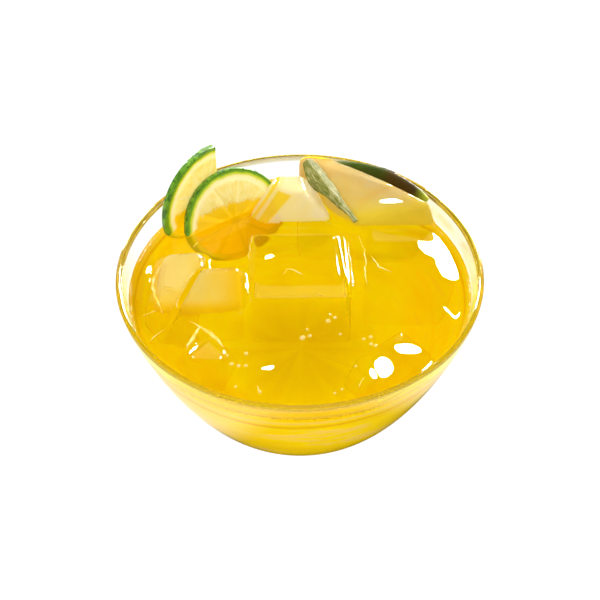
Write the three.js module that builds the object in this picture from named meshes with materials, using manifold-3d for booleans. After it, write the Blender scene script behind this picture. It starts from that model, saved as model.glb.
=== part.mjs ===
// Chunks of clear yellow jelly in syrup, with lime slices and a mint leaf, in a glass bowl.
// Millimetres, +Z up. The origin is the middle of the bowl's base, and -Y is the side of the eater.
import * as THREE from 'three';
import { ConvexGeometry } from 'three/addons/geometries/ConvexGeometry.js';
import { mergeVertices } from 'three/addons/utils/BufferGeometryUtils.js';
import Module from 'manifold-3d';

const wasm = await Module();
wasm.setup();

// ---------------------------------------------------------------- driving dimensions

const RIM_RADIUS = 80;
const BOWL_HEIGHT = 76;
const BASE_RADIUS = 35;
const FLOOR_THICKNESS = 5;
const WALL_THICKNESS = 2.3;
const LIP_THICKNESS = 2.4;
const FLOOR_BLEND = 0.3; // share of the height over which the thick floor thins to the wall
const LIP_START = 0.92; // share of the height where the lip begins to thicken
const SIDE_CURVE = 1.15; // how soon the side turns upright, as a superellipse's two powers
const BOTTOM_CURVE = 1.6;
const BOWL_SIDES = 60;
const WALL_STEPS = 9;
const WALL_CROWDING = 1.7; // draws the rings together near the base, where the wall turns fastest
const LIP_STEPS = 5;

const SYRUP_LEVEL = 65;
const MENISCUS_RISE = 0.8;
const MENISCUS_WIDTH = 2.2;
const GAP = 0.3; // kept between neighbours

const LIME_RADIUS = 25.5;
const LIME_THICKNESS = 3.2;
const LIME_EDGE = 0.9; // rounding of the rind's edge
const LIME_SIDES = 36;

const LEAF_LENGTH = 39;
const LEAF_WIDTH = 9.5;
const LEAF_THICKNESS = 0.8;

const CHUNK_ROUNDING = 2.6; // radius of a chunk's edges
const BALL_DETAIL = 1;

// ---------------------------------------------------------------- solids and geometries

// A closed geometry as a solid that can be joined and cut.
function toSolid(geometry) {
  const bare = geometry.clone();
  bare.deleteAttribute('normal');
  bare.deleteAttribute('uv');
  const merged = mergeVertices(bare, 1e-3);
  const corners = merged.index.array;
  const triangles = [];
  for (let i = 0; i < corners.length; i += 3) {
    const [a, b, c] = corners.subarray(i, i + 3);
    if (a !== b && b !== c && c !== a) triangles.push(a, b, c);
  }
  return new wasm.Manifold(new wasm.Mesh({
    numProp: 3,
    vertProperties: new Float32Array(merged.attributes.position.array),
    triVerts: new Uint32Array(triangles),
  }));
}

function toGeometry(solid) {
  const mesh = solid.getMesh();
  const geometry = new THREE.BufferGeometry();
  geometry.setAttribute('position', new THREE.BufferAttribute(mesh.vertProperties, 3));
  geometry.setIndex(new THREE.BufferAttribute(mesh.triVerts, 1));
  geometry.computeVertexNormals();
  return geometry;
}

// The largest of the bodies that a cut leaves.
function mainBody(solid) {
  return solid.decompose().reduce((best, body) => (body.volume() > best.volume() ? body : best));
}

// A closed profile of [radius, height] points turned about the Z axis.
function turned(profile, sides) {
  const geometry = new THREE.LatheGeometry(profile, sides);
  geometry.rotateX(Math.PI / 2);
  return geometry;
}

function direction(azimuth, elevation) {
  const a = THREE.MathUtils.degToRad(azimuth);
  const e = THREE.MathUtils.degToRad(elevation);
  return new THREE.Vector3(Math.cos(e) * Math.cos(a), Math.cos(e) * Math.sin(a), Math.sin(e));
}

// ---------------------------------------------------------------- glass bowl

// Outer wall at a share t of the height: a superellipse from the base's edge to the rim.
function outerWall(t) {
  const spread = (1 - (1 - t) ** SIDE_CURVE) ** (1 / BOTTOM_CURVE);
  const radius = BASE_RADIUS + (RIM_RADIUS - BASE_RADIUS) * spread;
  return new THREE.Vector2(radius, (BOWL_HEIGHT - LIP_THICKNESS / 2) * t);
}

function wallThickness(t) {
  const floor = Math.max(0, 1 - t / FLOOR_BLEND) ** 2;
  const lip = Math.max(0, (t - LIP_START) / (1 - LIP_START)) ** 2;
  return WALL_THICKNESS + (FLOOR_THICKNESS - WALL_THICKNESS) * floor
    + (LIP_THICKNESS - WALL_THICKNESS) * lip;
}

// Inner face of the wall, or a line held clear of it.
function innerWall(t, clearance = 0) {
  const step = 0.002;
  const along = outerWall(Math.min(t + step, 1)).sub(outerWall(Math.max(t - step, 0))).normalize();
  const inward = new THREE.Vector2(-along.y, along.x);
  return outerWall(t).addScaledVector(inward, wallThickness(t) + clearance);
}

// The share of the height at which the line held clear of the inner face reaches a level.
function stationAt(height) {
  const tolerance = 1e-6;
  let low = 0;
  let high = 1;
  while (high - low > tolerance) {
    const middle = (low + high) / 2;
    if (innerWall(middle, GAP).y < height) low = middle;
    else high = middle;
  }
  return low;
}

// The rings of the wall as shares of its height, with one at the syrup's edge, so that glass and
// syrup share every ring.
const SYRUP_EDGE = stationAt(SYRUP_LEVEL + MENISCUS_RISE);
const WALL_STATIONS = Array.from({ length: WALL_STEPS + 1 }, (_, i) => (i / WALL_STEPS) ** WALL_CROWDING)
  .concat(SYRUP_EDGE)
  .sort((a, b) => a - b);

function lipArc() {
  const points = [];
  const radius = LIP_THICKNESS / 2;
  const centre = new THREE.Vector2(RIM_RADIUS - radius, BOWL_HEIGHT - radius);
  for (let i = 1; i < LIP_STEPS; i += 1) {
    const angle = (Math.PI * i) / LIP_STEPS;
    points.push(new THREE.Vector2(Math.cos(angle), Math.sin(angle)).multiplyScalar(radius).add(centre));
  }
  return points;
}

function bowlGeometry() {
  return turned([
    new THREE.Vector2(0, 0),
    ...WALL_STATIONS.map((t) => outerWall(t)),
    ...lipArc(),
    ...WALL_STATIONS.map((t) => innerWall(t)).reverse(),
    new THREE.Vector2(0, FLOOR_THICKNESS),
  ], BOWL_SIDES);
}

// The bowl's inside, held clear of the glass, up to a share of its height.
function insideProfile(last) {
  return [
    new THREE.Vector2(0, FLOOR_THICKNESS + GAP),
    ...WALL_STATIONS.filter((t) => t <= last).map((t) => innerWall(t, GAP)),
  ];
}

// The space for the contents, which above the rim goes straight up.
function insideSolid(top) {
  const points = insideProfile(1);
  return toSolid(turned([
    ...points, new THREE.Vector2(points.at(-1).x, top), new THREE.Vector2(0, top),
  ], BOWL_SIDES));
}

// ---------------------------------------------------------------- jelly chunks

// The corners of the convex solid that lies behind every plane { normal, distance }.
function cornersBehind(planes) {
  const corners = [];
  for (const [i, first] of planes.entries()) {
    for (const [j, second] of planes.entries()) {
      for (const [k, third] of planes.entries()) {
        if (!(i < j && j < k)) continue;
        const normals = new THREE.Matrix3().set(
          ...first.normal.toArray(), ...second.normal.toArray(), ...third.normal.toArray());
        if (Math.abs(normals.determinant()) < 1e-3) continue;
        const corner = new THREE.Vector3(first.distance, second.distance, third.distance)
          .applyMatrix3(normals.invert());
        if (planes.every((plane) => plane.normal.dot(corner) < plane.distance + 1e-6)) {
          corners.push(corner);
        }
      }
    }
  }
  return corners;
}

// A rough-cut block: flat faces, each given by where it looks and how far it is from the centre,
// with every edge and corner rounded: the hull of balls set in the corners.
function chunkSolid({ centre, faces }, grow = 0) {
  const planes = faces.map(([azimuth, elevation, distance]) => (
    { normal: direction(azimuth, elevation), distance: distance - CHUNK_ROUNDING }));
  const ball = new THREE.IcosahedronGeometry(CHUNK_ROUNDING + grow, BALL_DETAIL);
  const points = cornersBehind(planes).flatMap((corner) => (
    Array.from({ length: ball.attributes.position.count }, (_, i) => (
      new THREE.Vector3().fromBufferAttribute(ball.attributes.position, i).add(corner)))));
  return toSolid(new ConvexGeometry(points).translate(...centre));
}

// Faces look along [azimuth, elevation] in degrees and lie [distance] mm from the chunk's centre.
// The order is the order of cutting: each chunk gives way to the ones before it.
const CHUNKS = {
  jelly_block_center: {
    centre: [-0.5, 12.5, 45.5],
    faces: [[6, 0, 21.6], [180, 0, 21.3], [90, 0, 21.8], [-90, 4, 21.5], [-90, 87, 21.4], [0, -90, 21]],
  },
  jelly_slab_back_right: {
    centre: [34, 52, 56],
    faces: [[-116, 62.5, 16.4], [-134, 36, 17.2], [-90, 12, 13.5], [20, 0, 34], [55.6, 0, 9.4],
      [180, 0, 34], [0, 90, 21.6], [0, -90, 20]],
  },
  jelly_wedge_back: {
    centre: [-3, 55, 54],
    faces: [[-87, 32, 16], [-125, 50, 20.1], [166, 35, 20.7], [5, 44, 19.8], [-90, 0, 18],
      [180, 0, 22], [0, 0, 19], [90, 0, 9], [0, 90, 23.3], [0, -90, 19]],
  },
  jelly_chunk_right: {
    centre: [47, 19, 50],
    faces: [[-90, 89, 15.4], [176, 0, 18.3], [14, 22, 24], [-90, 5, 23], [90, 0, 24], [0, -90, 17],
      [-30, 8, 25]],
  },
  jelly_chunk_left_lower: {
    centre: [-38, -4, 54],
    faces: [[-80, 78, 14], [158, 12, 13.5], [4, 0, 13.6], [-86, 6, 13.5], [94, 0, 14.5], [0, -90, 15]],
  },
  jelly_chunk_left_upper: {
    centre: [-54, 2, 54],
    faces: [[-60, 80, 14.6], [176, 24, 13], [0, 0, 12], [-96, 10, 19.5], [98, 4, 18.5], [0, -90, 16]],
  },
  jelly_chunk_front_left: {
    centre: [-39.5, -37.5, 55],
    faces: [[140, 30, 9.5], [35, 26, 9.5], [-92, 20, 9.5], [-150, 10, 10], [-20, 8, 10], [0, 90, 11.3],
      [0, -90, 11]],
  },
  jelly_chunk_front_right: {
    centre: [40, -42, 52],
    faces: [[-50, 20, 13], [40, 6, 15], [130, 8, 13], [-138, 10, 16], [-70, 88, 13.3], [0, -90, 14]],
  },
};

// ---------------------------------------------------------------- lime slices

// A round slice, lying in the XY plane.
function limeDisc(grow = 0) {
  const radius = LIME_RADIUS + grow;
  const half = LIME_THICKNESS / 2 + grow;
  return turned([
    new THREE.Vector2(0, -half),
    new THREE.Vector2(radius - LIME_EDGE, -half),
    new THREE.Vector2(radius, LIME_EDGE - half),
    new THREE.Vector2(radius, half - LIME_EDGE),
    new THREE.Vector2(radius - LIME_EDGE, half),
    new THREE.Vector2(0, half),
  ], LIME_SIDES);
}

// Turns a slice's face to look along an azimuth and elevation, with its local +Y uphill.
function stand(geometry, azimuth, elevation, centre) {
  const facing = direction(azimuth, elevation);
  const across = new THREE.Vector3(0, 0, 1).cross(facing).normalize();
  const uphill = facing.clone().cross(across);
  const turn = new THREE.Matrix4().makeBasis(across, uphill, facing);
  return geometry.applyMatrix4(turn.setPosition(...centre));
}

const BACK_SLICE = { azimuth: -41, elevation: 0, centre: [-44.5, 54.2, 73], cut: 8.8 };
const FRONT_SLICE = { azimuth: -57, elevation: 25, centre: [-29.9, 48.2, 62], cut: 22.8 };

// A slice in its place, which ends in a straight cut on its right.
function sliceSolid({ azimuth, elevation, centre, cut }, grow = 0) {
  const keep = new THREE.BoxGeometry(2 * LIME_RADIUS, 4 * LIME_RADIUS, 4 * LIME_THICKNESS);
  keep.translate(cut + grow - LIME_RADIUS, 0, 0);
  const rest = toSolid(limeDisc(grow)).intersect(toSolid(keep));
  return toSolid(stand(toGeometry(rest), azimuth, elevation, centre));
}

// A thin sheet over a grid: place(u, v, side) gives the points of its two faces, which share one
// pattern of triangles, and a strip closes the edge.
function sheetSolid(columns, rows, place) {
  const grid = new THREE.PlaneGeometry(1, 1, columns, rows);
  const count = grid.attributes.position.count;
  const points = [];
  for (const side of [1, -1]) {
    for (let row = 0; row <= rows; row += 1) {
      for (let column = 0; column <= columns; column += 1) {
        points.push(...place(column / columns, 1 - (2 * row) / rows, side));
      }
    }
  }
  const front = Array.from(grid.index.array);
  const back = front.map((corner) => corner + count).reverse();
  const at = (column, row) => row * (columns + 1) + column;
  const loop = [];
  for (let row = 0; row < rows; row += 1) loop.push(at(0, row));
  for (let column = 0; column < columns; column += 1) loop.push(at(column, rows));
  for (let row = rows; row > 0; row -= 1) loop.push(at(columns, row));
  for (let column = columns; column > 0; column -= 1) loop.push(at(column, 0));
  const edge = loop.flatMap((corner, i) => {
    const next = loop[(i + 1) % loop.length];
    return [corner, corner + count, next, next, corner + count, next + count];
  });
  const geometry = new THREE.BufferGeometry();
  geometry.setAttribute('position', new THREE.BufferAttribute(new Float32Array(points), 3));
  geometry.setIndex([...front, ...back, ...edge]);
  return toSolid(geometry);
}

// A lime segment bent along the wall at the back right, rind up, leaning on the bowl's lip.
const RIM_SEGMENT = {
  from: 77, // degrees round the bowl
  to: 38.5,
  top: 78.4,
  depth: 10.5,
  sag: 2, // how much lower the rind is at its ends
  thickness: 2.6,
  thinEnd: 0.3, // thickness and depth of the ends, as shares of the middle's
  shallowEnd: 0.35,
  lean: 0.3, // inward for each mm down, as the wall is
};

function rimSegmentSolid(grow = 0) {
  const { from, to, top, depth, sag, thickness, thinEnd, shallowEnd, lean } = RIM_SEGMENT;
  const lipRadius = RIM_RADIUS - LIP_THICKNESS - GAP;
  return sheetSolid(14, 3, (u, v, side) => {
    const fromMiddle = 2 * u - 1;
    const bulge = Math.sqrt(1 - fromMiddle ** 2);
    const half = (thickness / 2) * (thinEnd + (1 - thinEnd) * bulge) + grow;
    const crest = top - sag * fromMiddle ** 2 + grow;
    const foot = top - depth * (shallowEnd + (1 - shallowEnd) * bulge) - grow;
    const height = foot + (crest - foot) * (0.5 + v / 2);
    const middle = lipRadius - thickness / 2 - lean * (top - height);
    const radius = middle - side * half;
    const around = THREE.MathUtils.degToRad(from + (to - from) * u) - (grow * fromMiddle) / middle;
    return [radius * Math.cos(around), radius * Math.sin(around), height];
  });
}

// ---------------------------------------------------------------- mint leaf

// The leaf lies along the left ridge of the back right slab, folded over it along its midrib.
const LEAF_TIP = new THREE.Vector3(3.6, 69.5, 80.8);
const LEAF_STEM = new THREE.Vector3(26.6, 38.5, 68.8);
const LEAF = {
  fullness: 0.5, // below 1 the widest place moves towards the tip
  taper: 2, // above 1 both ends draw in sooner
  endWidth: 0.22, // width of tip and stem as a share of the widest
  foldLeft: 0.32, // fall for each mm from the midrib, steeper on the ridge's left
  foldRight: 0.12,
  curl: 0.1,
  deepest: 3.6,
  ruffle: 0.45,
  ruffles: 16, // radians of the wave over the leaf's length
};

function leafSolid(grow = 0) {
  const { fullness, taper, endWidth, foldLeft, foldRight, curl, deepest, ruffle, ruffles } = LEAF;
  const along = LEAF_STEM.clone().sub(LEAF_TIP).normalize();
  const left = direction(-142.5, 0);
  const half = LEAF_THICKNESS / 2 + grow;
  return sheetSolid(16, 4, (u, v, side) => {
    const outline = Math.sin(Math.PI * (0.03 + 0.94 * u) ** fullness) ** taper;
    const width = LEAF_WIDTH * (endWidth + (1 - endWidth) * outline);
    const across = v * (width / 2 + grow);
    const fold = (v > 0 ? foldLeft : foldRight) * Math.abs(across);
    const fall = Math.min(fold + curl * across ** 2, deepest) - ruffle * Math.sin(ruffles * u) * v ** 2;
    const point = LEAF_TIP.clone().addScaledVector(along, u * LEAF_LENGTH + (2 * u - 1) * grow);
    point.addScaledVector(left, across * Math.cos(fold / LEAF_WIDTH));
    point.z -= fall + side * half;
    return point.toArray();
  });
}

// ---------------------------------------------------------------- assembly

const inside = insideSolid(BOWL_HEIGHT + 30);

// Garnish first, then the chunks: each solid gives way to the grown copies of those before it.
const builders = {
  lime_slice_back: (grow) => sliceSolid(BACK_SLICE, grow),
  lime_slice_front: (grow) => sliceSolid(FRONT_SLICE, grow),
  lime_slice_right: rimSegmentSolid,
  mint_leaf: leafSolid,
};
for (const [name, chunk] of Object.entries(CHUNKS)) {
  builders[name] = (grow = 0) => chunkSolid(chunk, grow);
}

const contents = {};
let taken = null;
for (const [name, build] of Object.entries(builders)) {
  let solid = build().intersect(inside);
  if (taken) solid = solid.subtract(taken);
  contents[name] = mainBody(solid);
  taken = taken ? taken.add(build(GAP)) : build(GAP);
}

function syrupSolid() {
  const points = insideProfile(SYRUP_EDGE);
  const edge = points.at(-1).x;
  const pool = toSolid(turned([
    ...points,
    new THREE.Vector2(edge - MENISCUS_WIDTH / 3, SYRUP_LEVEL + MENISCUS_RISE / 3),
    new THREE.Vector2(edge - MENISCUS_WIDTH, SYRUP_LEVEL),
    new THREE.Vector2(0, SYRUP_LEVEL),
  ], BOWL_SIDES));
  return mainBody(pool.subtract(taken));
}

// ---------------------------------------------------------------- scene graph

const glass = new THREE.MeshStandardMaterial({
  color: 0xf1f3ee, roughness: 0.03, metalness: 0, transparent: true, opacity: 0.35,
});
const syrup = new THREE.MeshStandardMaterial({ color: 0xeeb905, roughness: 0.05, metalness: 0 });
const jelly = new THREE.MeshStandardMaterial({ color: 0xe8d26a, roughness: 0.12, metalness: 0 });
const lime = new THREE.MeshStandardMaterial({ color: 0xd7e07a, roughness: 0.35, metalness: 0 });
const mint = new THREE.MeshStandardMaterial({ color: 0x7f8f3c, roughness: 0.55, metalness: 0 });

function materialFor(name) {
  if (name.startsWith('lime')) return lime;
  if (name.startsWith('mint')) return mint;
  return jelly;
}

const dessert = new THREE.Group();

function addPiece(name, geometry, material) {
  const mesh = new THREE.Mesh(geometry, material);
  mesh.name = name;
  dessert.add(mesh);
}

addPiece('glass_bowl', bowlGeometry(), glass);
addPiece('lemon_syrup', toGeometry(syrupSolid()), syrup);
for (const [name, solid] of Object.entries(contents)) {
  addPiece(name, toGeometry(solid), materialFor(name));
}

export default dessert;
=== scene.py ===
"""Jelly chunks in golden syrup in a glass bowl, with lime slices and a mint leaf: the finished looks."""

import math

import bmesh
import bpy
from mathutils import Matrix, Vector, noise
from mathutils.bvhtree import BVHTree


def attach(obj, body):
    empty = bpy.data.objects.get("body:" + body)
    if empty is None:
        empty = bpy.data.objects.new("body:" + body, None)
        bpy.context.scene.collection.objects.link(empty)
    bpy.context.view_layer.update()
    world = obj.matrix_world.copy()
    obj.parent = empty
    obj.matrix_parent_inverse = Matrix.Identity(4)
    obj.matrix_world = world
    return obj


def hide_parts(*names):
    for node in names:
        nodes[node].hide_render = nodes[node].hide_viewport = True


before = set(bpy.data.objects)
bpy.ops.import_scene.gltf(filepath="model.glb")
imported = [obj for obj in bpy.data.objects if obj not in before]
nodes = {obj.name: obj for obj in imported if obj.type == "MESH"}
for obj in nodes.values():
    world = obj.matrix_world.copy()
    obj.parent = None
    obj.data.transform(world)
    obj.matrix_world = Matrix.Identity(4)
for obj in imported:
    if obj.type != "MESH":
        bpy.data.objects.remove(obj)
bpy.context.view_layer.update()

MM = 0.001
WHITE = (1, 1, 1)
BLACK = (0, 0, 0)


def direction(azimuth, elevation):
    """The unit vector at an azimuth about +Z, 0 at +X, and an elevation, both in degrees."""
    a, e = math.radians(azimuth), math.radians(elevation)
    return Vector((math.cos(e) * math.cos(a), math.cos(e) * math.sin(a), math.sin(e)))


# ---------------------------------------------------------------- camera, floor and light

CAMERA_DISTANCE = 0.75
CAMERA_ELEVATION = math.radians(44.46)
CAMERA_ROLL = math.radians(-0.5)
CAMERA_LENS = 101.87
AIM = Vector((0, 0, 0.0583))
FLOOR_RADIUS = 6
FLOOR_DROP = 0.0002
FLOOR_GLOW = 0.97
WINDOW_DISTANCE = 1.1
WINDOW_POWER = 420  # watts for each square metre


def make_camera():
    camera = bpy.data.objects.new("camera", bpy.data.cameras.new("camera"))
    camera.data.lens = CAMERA_LENS
    camera.data.sensor_width = 36
    camera.data.clip_start = 0.05
    camera.data.clip_end = 50
    back = Vector((0, -math.cos(CAMERA_ELEVATION), math.sin(CAMERA_ELEVATION)))
    camera.location = AIM + back * CAMERA_DISTANCE
    aimed = (-back).to_track_quat("-Z", "Y").to_matrix()
    camera.rotation_euler = (aimed @ Matrix.Rotation(CAMERA_ROLL, 3, "Z")).to_euler()
    bpy.context.scene.collection.objects.link(camera)
    bpy.context.scene.camera = camera


def softbox(name, azimuth, elevation, distance, size, power, gloss_only=False):
    """A rectangular light that faces the bowl from an azimuth and an elevation."""
    light = bpy.data.lights.new(name, "AREA")
    light.shape = "RECTANGLE"
    light.size, light.size_y = size
    light.energy = power
    lamp = bpy.data.objects.new(name, light)
    away = direction(azimuth, elevation)
    lamp.location = AIM + away * distance
    lamp.rotation_euler = away.to_track_quat("Z", "Y").to_euler()
    lamp.visible_camera = False
    if gloss_only:
        lamp.visible_diffuse = False
        lamp.visible_transmission = False
    bpy.context.scene.collection.objects.link(lamp)
    return lamp


def mirrored_window(name, first, second, width, facing=(0, 0, 1)):
    """A lit window whose image is an oval from one point to another on a shiny surface, which faces one
    way. The points and the image's width are in millimetres."""
    eye = bpy.context.scene.camera.location
    facing = Vector(facing).normalized()
    spots = [Vector(spot) * MM for spot in (first, second)]
    ends = [spot + (spot - eye).normalized().reflect(facing) * WINDOW_DISTANCE for spot in spots]
    middle = (ends[0] + ends[1]) / 2
    along = ends[1] - ends[0]
    away = (middle - (spots[0] + spots[1]) / 2).normalized()
    across = away.cross(along).normalized()
    grown = 1 + WINDOW_DISTANCE / (spots[0] - eye).length
    light = bpy.data.lights.new(name, "AREA")
    light.shape = "ELLIPSE"
    light.size, light.size_y = along.length, width * MM * grown
    light.energy = WINDOW_POWER * light.size * light.size_y
    lamp = bpy.data.objects.new(name, light)
    lamp.matrix_world = (Matrix.Translation(middle)
                         @ Matrix((across.cross(away), across, away)).transposed().to_4x4())
    lamp.visible_camera = lamp.visible_diffuse = lamp.visible_transmission = False
    bpy.context.scene.collection.objects.link(lamp)


def mirrored(tree):
    """1 where a ray comes off a shiny surface, 0 where it comes through one or off a dull one."""
    path = tree.nodes.new("ShaderNodeLightPath")
    return maths(tree, "MULTIPLY", path.outputs["Is Reflection Ray"], path.outputs["Is Glossy Ray"])


def blend_colours(tree, factor, first, second):
    mix = tree.nodes.new("ShaderNodeMix")
    mix.data_type = "RGBA"
    tree.links.new(factor, mix.inputs["Factor"])
    for socket, colour in (("A", first), ("B", second)):
        if isinstance(colour, tuple):
            mix.inputs[socket].default_value = (*colour, 1)
        else:
            tree.links.new(colour, mix.inputs[socket])
    return mix.outputs["Result"]


def make_world():
    """A white room that the shiny surfaces mirror as a dim one, so that only the lamps glint."""
    world = bpy.data.worlds.new("studio")
    world.use_nodes = True
    bpy.context.scene.world = world
    tree = world.node_tree
    tree.nodes.clear()
    place = tree.nodes.new("ShaderNodeTexCoord")
    up = parts_of(tree, place.outputs["Generated"])[2]
    bright = ramp_of(tree, up, [(0.0, (0.88, 0.83, 0.74)), (0.5, (1.05, 1.05, 1.07))])
    dim = ramp_of(tree, up, [(0.0, (0.2, 0.19, 0.18)), (0.35, (0.02, 0.02, 0.02))])
    seen = blend_colours(tree, mirrored(tree), bright, dim)
    path = tree.nodes.new("ShaderNodeLightPath")
    final = blend_colours(tree, path.outputs["Is Camera Ray"], seen, WHITE)
    back = tree.nodes.new("ShaderNodeBackground")
    out = tree.nodes.new("ShaderNodeOutputWorld")
    tree.links.new(final, back.inputs["Color"])
    tree.links.new(back.outputs["Background"], out.inputs["Surface"])


# ---------------------------------------------------------------- materials

GLASS_IOR = 1.5
SYRUP_IOR = 1.36
JELLY_IOR = 1.012  # against the syrup and the film round it
SLIVER_IOR = 1.2

# Heights in metres: a tint begins at the first and is full at the second, or has its bands between.
PAINTED_GOLD_ON_GLASS = (0.0635, 0.066)
SHADED_LIP = (0.0728, 0.0745)
GLASS_GLOW_HEIGHTS = (0.064, 0.076)
PAINTED_RING_HEIGHTS = (0.052, 0.068)
PALE_FILM = (0.0685, 0.0725)
CLEAR_FILM = (0.0655, 0.0672)
SUNK_LIME = (0.0672, 0.0638)

# Painted shade: the syrup is darker in an oval at the front and at the far left, in metres.
PAINTED_SHADE_MIDDLE, PAINTED_SHADE_HALVES = (0, -0.04), (0.042, 0.048)
PAINTED_SHADE_LEFT = (-0.074, -0.064)
PAINTED_SHADE_TINT = (0.7, 0.56, 0.01)
SYRUP_TINT = (0.985, 0.965, 0.0)
SYRUP_DENSITY = 70.0  # per metre
GOLDEN_JELLY = (0.95, 0.66, 0.02)
ZONE_WANDER = 1.2  # millimetres

# The glass mirrors a painted shade of the bowl, a dark oval under it, and the pale floor at its sides.
SHADE_MIDDLE, SHADE_HALVES = (0.012, 0), (0.05, 0.11)


def blank_material(name):
    """A material with one Principled shader, whose nodes and links the caller adds."""
    made = bpy.data.materials.new(name)
    made.use_nodes = True
    tree = made.node_tree
    tree.nodes.clear()
    out = tree.nodes.new("ShaderNodeOutputMaterial")
    shader = tree.nodes.new("ShaderNodeBsdfPrincipled")
    tree.links.new(shader.outputs["BSDF"], out.inputs["Surface"])
    return made, tree, shader, out


def set_values(node, values):
    """Plain values on a node's own sockets."""
    for socket, value in values.items():
        node.inputs[socket].default_value = value


def colour_and_glow(tree, shader, colour, strength):
    """The surface's colour, in which it also glows a little."""
    tree.links.new(colour, shader.inputs["Base Color"])
    tree.links.new(colour, shader.inputs["Emission Color"])
    shader.inputs["Emission Strength"].default_value = strength


def absorb(tree, out, colour, density):
    """Colour that the light takes on inside the piece; density is per metre."""
    volume = tree.nodes.new("ShaderNodeVolumeAbsorption")
    set_values(volume, {"Color": (*colour, 1), "Density": density})
    tree.links.new(volume.outputs["Volume"], out.inputs["Volume"])


def bump(tree, shader, height, distance, strength):
    node = tree.nodes.new("ShaderNodeBump")
    set_values(node, {"Strength": strength, "Distance": distance})
    tree.links.new(height, node.inputs["Height"])
    tree.links.new(node.outputs["Normal"], shader.inputs["Normal"])


def noise_on(tree, coordinate, scale, detail=2.0, roughness=0.5, distortion=0.0):
    node = tree.nodes.new("ShaderNodeTexNoise")
    set_values(node, {"Scale": scale, "Detail": detail, "Roughness": roughness,
                      "Distortion": distortion})
    tree.links.new(coordinate, node.inputs["Vector"])
    return node.outputs["Fac"]


def own_place(tree, vector, location, turn):
    """A place in a piece's own frame, in millimetres."""
    node = tree.nodes.new("ShaderNodeMapping")
    node.vector_type = "TEXTURE"
    set_values(node, {"Location": location, "Rotation": turn, "Scale": (MM, MM, MM)})
    tree.links.new(vector, node.inputs["Vector"])
    return node.outputs["Vector"]


def object_place(tree):
    return tree.nodes.new("ShaderNodeTexCoord").outputs["Object"]


def ramp_of(tree, factor, stops):
    node = tree.nodes.new("ShaderNodeValToRGB")
    elements = node.color_ramp.elements
    while len(elements) > 1:
        elements.remove(elements[-1])
    elements[0].position, elements[0].color = stops[0][0], (*stops[0][1], 1)
    for position, colour in stops[1:]:
        elements.new(position).color = (*colour, 1)
    tree.links.new(factor, node.inputs["Fac"])
    return node.outputs["Color"]


def maths(tree, operation, *values):
    node = tree.nodes.new("ShaderNodeMath")
    node.operation = operation
    for socket, value in zip(node.inputs, values):
        if isinstance(value, (int, float)):
            socket.default_value = value
        else:
            tree.links.new(value, socket)
    return node.outputs[0]


def mapped(tree, value, low, high, to_low=0.0, to_high=1.0, kind="SMOOTHSTEP"):
    """A step from one value to another, smooth or LINEAR."""
    node = tree.nodes.new("ShaderNodeMapRange")
    node.interpolation_type = kind
    tree.links.new(value, node.inputs["Value"])
    set_values(node, {"From Min": low, "From Max": high, "To Min": to_low, "To Max": to_high})
    return node.outputs["Result"]


def parts_of(tree, vector):
    node = tree.nodes.new("ShaderNodeSeparateXYZ")
    tree.links.new(vector, node.inputs[0])
    return node.outputs["X"], node.outputs["Y"], node.outputs["Z"]


def unrolled(tree, angle, across, reach, down):
    """A flat place: an angle times across, and a reach or height times down."""
    node = tree.nodes.new("ShaderNodeCombineXYZ")
    tree.links.new(maths(tree, "MULTIPLY", angle, across), node.inputs["X"])
    tree.links.new(maths(tree, "MULTIPLY", reach, down), node.inputs["Y"])
    return node.outputs[0]


def round_bowl(tree, place, across, down):
    """The bowl's wall unrolled, for a pattern that runs round it."""
    x, y, z = parts_of(tree, place)
    return unrolled(tree, maths(tree, "ARCTAN2", y, x), across, z, down)


def swaying_height(tree, place, sway):
    """The height, which sways along the wall by up to half the given amount each way."""
    wave = noise_on(tree, round_bowl(tree, place, 0.8, 20.0), 1.5, 2.0)
    lowered = maths(tree, "SUBTRACT", parts_of(tree, place)[2], sway / 2)
    return maths(tree, "MULTIPLY_ADD", wave, sway, lowered)


def flat_length(tree, x, y):
    squares = maths(tree, "ADD", maths(tree, "MULTIPLY", x, x), maths(tree, "MULTIPLY", y, y))
    return maths(tree, "SQRT", squares)


def from_oval(tree, place, middle, halves):
    """How far a place is from the middle of an upright oval column: 1 at the column's skin."""
    parts = zip(parts_of(tree, place), middle, halves)
    across, along = [maths(tree, "DIVIDE", maths(tree, "SUBTRACT", value, centre), half)
                     for value, centre, half in parts]
    return flat_length(tree, across, along)


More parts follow.
